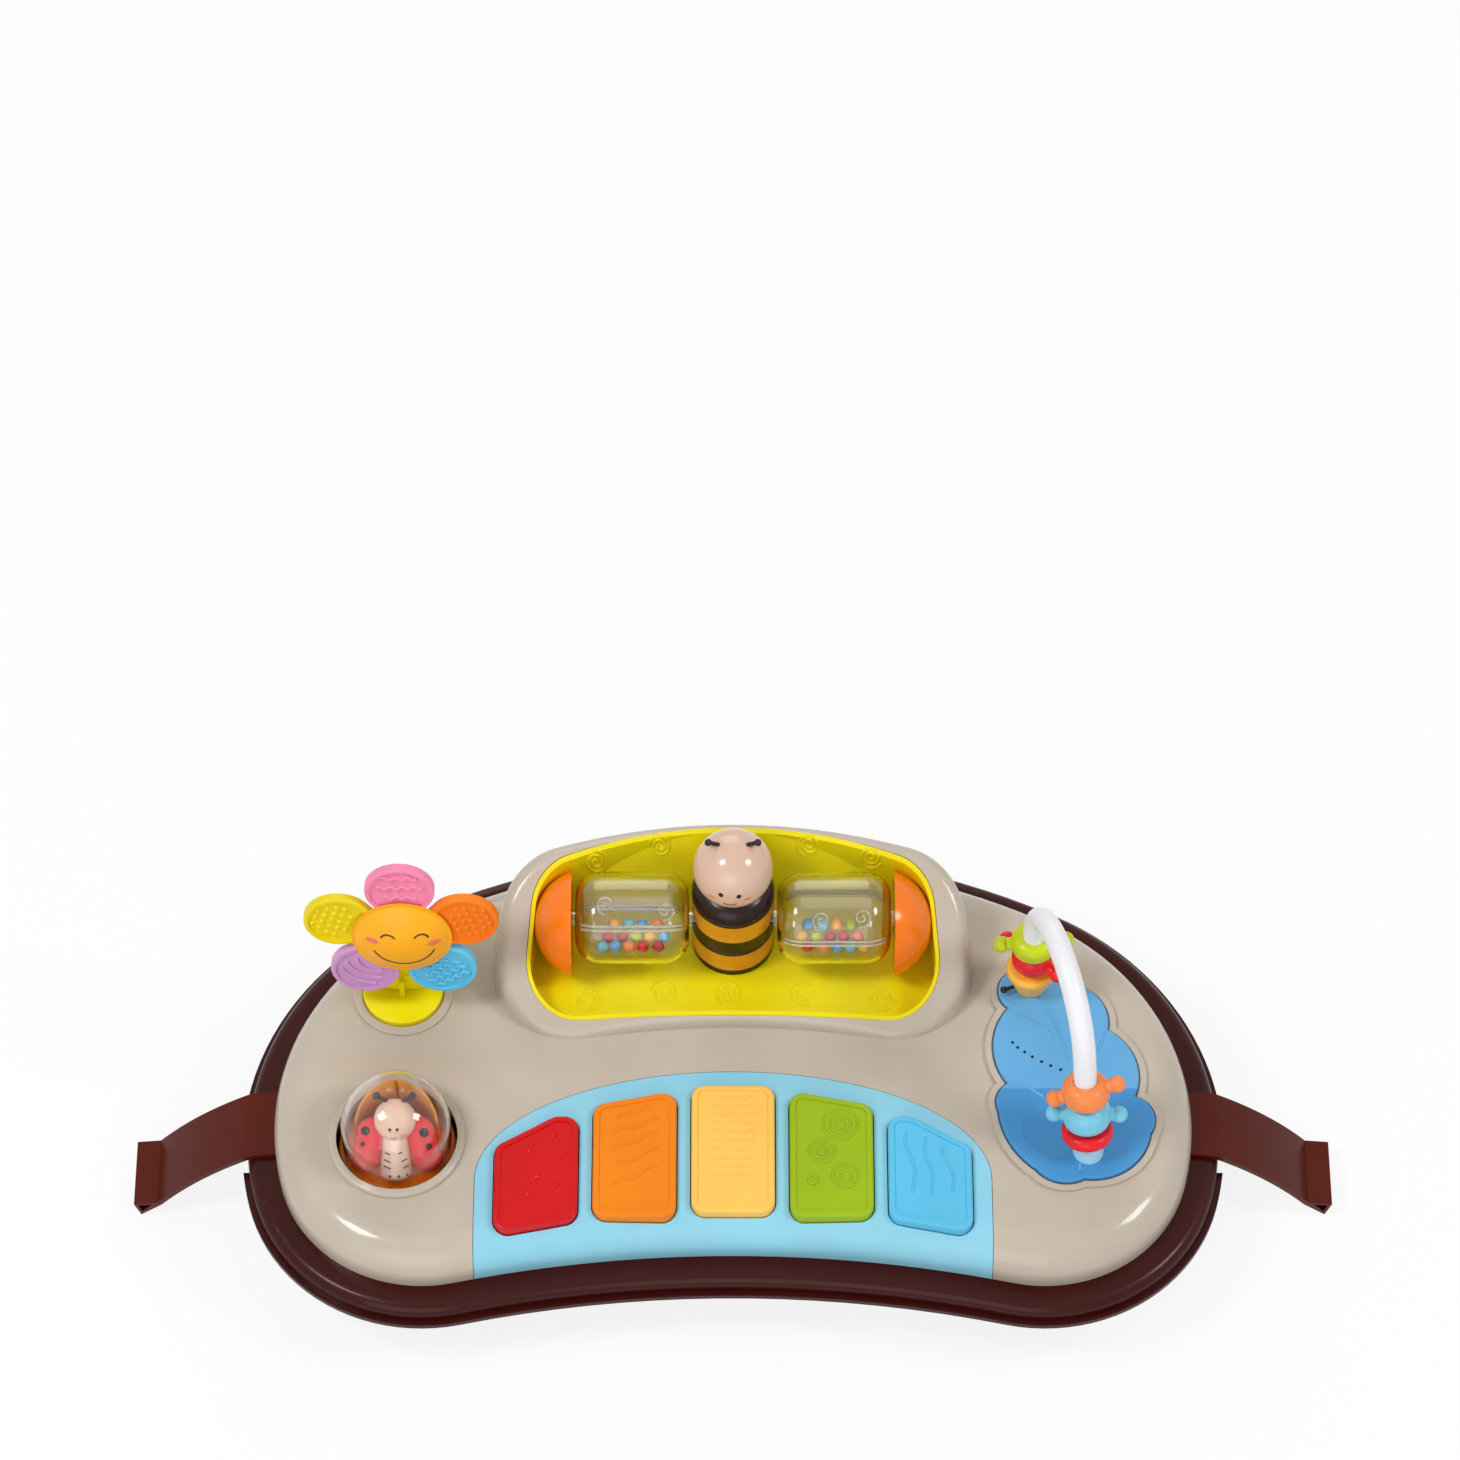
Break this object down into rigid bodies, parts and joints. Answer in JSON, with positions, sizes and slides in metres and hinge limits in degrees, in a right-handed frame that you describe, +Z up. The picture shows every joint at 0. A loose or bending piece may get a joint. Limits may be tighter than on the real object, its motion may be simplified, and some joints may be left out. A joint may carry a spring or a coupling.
{
  "type": "baby walker play tray",
  "caption": "Kidney-shaped baby walker play tray with press keys, spinning clear drums, bee, flower, ladybug capsule, bead arch and two side clip arms.",
  "frame": {"origin": "on the resting surface, under the middle of the tray's bounding box", "axes": "+X to the user's right along the tray, +Y to the back of the console, +Z up"},
  "size_m": [0.6134, 0.2799, 0.1899],
  "materials": {
    "tray_brown": "gloss",
    "arm_brown": "gloss",
    "shell_taupe": "gloss",
    "panel_blue": "satin",
    "cove_green": "satin",
    "key_red": "gloss",
    "key_orange": "gloss",
    "key_yellow": "gloss",
    "key_green": "gloss",
    "key_blue": "gloss",
    "silicone_dome": "matte",
    "board_green": "matte",
    "dark_plastic": "matte",
    "screw_steel": "satin",
    "cell_case": "satin",
    "clear_plastic": "clear plastic, polished",
    "moon_orange": "gloss",
    "bee_amber": "gloss",
    "bee_skin": "gloss",
    "antenna_black": "gloss",
    "rattle_mix": "gloss",
    "flower_yellow": "gloss",
    "petal_pink": "satin",
    "petal_green": "satin",
    "petal_purple": "satin",
    "petal_blue": "satin",
    "petal_orange": "satin",
    "stalk_green": "gloss",
    "bug_red": "gloss",
    "bug_skin": "gloss",
    "leaf_blue": "satin",
    "leaf_deep_blue": "satin",
    "rod_white": "gloss",
    "collar_pale_blue": "satin",
    "bead_red": "gloss",
    "bead_light_blue": "gloss",
    "bead_orange": "gloss",
    "bead_yellow": "gloss",
    "bead_green": "gloss"
  },
  "bodies": {
    "tray": {"base_tray": "tray_brown", "battery_door": "tray_brown", "battery_door_screw": "screw_steel", "batteries": "cell_case", "case_screws": "screw_steel", "top_shell": "shell_taupe", "keyboard_panel": "panel_blue", "cove_panel": "cove_green", "circuit_board": "board_green", "speaker": "dark_plastic", "red_key_dome": "silicone_dome", "orange_key_dome": "silicone_dome", "yellow_key_dome": "silicone_dome", "green_key_dome": "silicone_dome", "blue_key_dome": "silicone_dome", "left_moon_bracket": "moon_orange", "right_moon_bracket": "moon_orange", "bee_body": "bee_amber", "leaf_plate": "leaf_blue", "leaf_front_lobes": "leaf_deep_blue", "arch_rod": "rod_white", "arch_collar": "collar_pale_blue", "left_clip_arm": "arm_brown", "right_clip_arm": "arm_brown"},
    "red_key": {"red_key": "key_red"},
    "orange_key": {"orange_key": "key_orange"},
    "yellow_key": {"yellow_key": "key_yellow"},
    "green_key": {"green_key": "key_green"},
    "blue_key": {"blue_key": "key_blue"},
    "left_drum": {"left_drum_upper_half": "clear_plastic", "left_drum_lower_half": "clear_plastic", "left_drum_beads": "rattle_mix"},
    "right_drum": {"right_drum_upper_half": "clear_plastic", "right_drum_lower_half": "clear_plastic", "right_drum_beads": "rattle_mix"},
    "bee_head": {"bee_head": "bee_skin", "bee_antennae": "antenna_black"},
    "flower_stalk": {"flower_stalk": "stalk_green"},
    "flower_head": {"flower_hub": "flower_yellow", "pink_petal": "petal_pink", "green_petal": "petal_green", "purple_petal": "petal_purple", "blue_petal": "petal_blue", "orange_petal": "petal_orange", "flower_face": "flower_yellow"},
    "capsule": {"capsule_floor": "moon_orange", "capsule_dome": "clear_plastic", "ladybug_body": "bug_skin", "ladybug_head": "bug_skin", "ladybug_wings": "bug_red", "ladybug_antennae": "antenna_black"},
    "front_red_bead": {"front_red_bead": "bead_red"},
    "front_blue_bead": {"front_blue_bead": "bead_light_blue"},
    "front_orange_bead": {"front_orange_bead": "bead_orange"},
    "rear_yellow_bead": {"rear_yellow_bead": "bead_yellow", "rear_bead_antenna": "antenna_black"},
    "rear_red_bead": {"rear_red_bead": "bead_red"},
    "rear_green_bead": {"rear_green_bead": "bead_green"}
  },
  "joints": [
    {"name": "red_key_press", "type": "slide", "parent": "tray", "child": "red_key", "axis": [0, 0, -1], "range_m": [0, 0.003], "stiffness_N_per_m": 300, "springref_m": -0.003, "deforming": ["red_key_dome"]},
    {"name": "orange_key_press", "type": "slide", "parent": "tray", "child": "orange_key", "axis": [0, 0, -1], "range_m": [0, 0.003], "stiffness_N_per_m": 300, "springref_m": -0.003, "deforming": ["orange_key_dome"]},
    {"name": "yellow_key_press", "type": "slide", "parent": "tray", "child": "yellow_key", "axis": [0, 0, -1], "range_m": [0, 0.003], "stiffness_N_per_m": 300, "springref_m": -0.003, "deforming": ["yellow_key_dome"]},
    {"name": "green_key_press", "type": "slide", "parent": "tray", "child": "green_key", "axis": [0, 0, -1], "range_m": [0, 0.003], "stiffness_N_per_m": 300, "springref_m": -0.003, "deforming": ["green_key_dome"]},
    {"name": "blue_key_press", "type": "slide", "parent": "tray", "child": "blue_key", "axis": [0, 0, -1], "range_m": [0, 0.003], "stiffness_N_per_m": 300, "springref_m": -0.003, "deforming": ["blue_key_dome"]},
    {"name": "left_drum_spin", "type": "hinge", "parent": "tray", "child": "left_drum", "pos_m": [-0.0513, 0.059, 0.1061], "axis": [1, 0, 0], "continuous": true},
    {"name": "right_drum_spin", "type": "hinge", "parent": "tray", "child": "right_drum", "pos_m": [0.0513, 0.059, 0.1061], "axis": [1, 0, 0], "continuous": true},
    {"name": "bee_head_turn", "type": "hinge", "parent": "tray", "child": "bee_head", "pos_m": [0, 0.0651, 0.1445], "axis": [0, 0, 1], "continuous": true},
    {"name": "flower_stalk_turn", "type": "hinge", "parent": "tray", "child": "flower_stalk", "pos_m": [-0.1685, 0.0334, 0.0745], "axis": [0, 0, 1], "continuous": true},
    {"name": "flower_spin", "type": "hinge", "parent": "flower_stalk", "child": "flower_head", "pos_m": [-0.166, 0.032, 0.1395], "axis": [0, -0.9888, 0.1495], "continuous": true},
    {"name": "capsule_turn", "type": "hinge", "parent": "tray", "child": "capsule", "pos_m": [-0.1691, -0.0517, 0.065], "axis": [0, 0, 1], "continuous": true},
    {"name": "front_red_bead_slide", "type": "slide", "parent": "tray", "child": "front_red_bead", "axis": [-0.067, 0.2448, 0.9673], "range_m": [0, 0.0046]},
    {"name": "front_blue_bead_slide", "type": "slide", "parent": "front_red_bead", "child": "front_blue_bead", "axis": [-0.067, 0.2448, 0.9673], "range_m": [0, 0.0046]},
    {"name": "front_orange_bead_slide", "type": "slide", "parent": "front_blue_bead", "child": "front_orange_bead", "axis": [-0.067, 0.2448, 0.9673], "range_m": [0, 0.0046]},
    {"name": "rear_yellow_bead_spin", "type": "hinge", "parent": "tray", "child": "rear_yellow_bead", "pos_m": [0.15174, 0.03586, 0.0785], "axis": [0, 0, 1], "continuous": true},
    {"name": "rear_red_bead_spin", "type": "hinge", "parent": "tray", "child": "rear_red_bead", "pos_m": [0.15174, 0.03586, 0.0785], "axis": [0, 0, 1], "continuous": true},
    {"name": "rear_green_bead_spin", "type": "hinge", "parent": "tray", "child": "rear_green_bead", "pos_m": [0.15174, 0.03586, 0.0785], "axis": [0, 0, 1], "continuous": true}
  ]
}
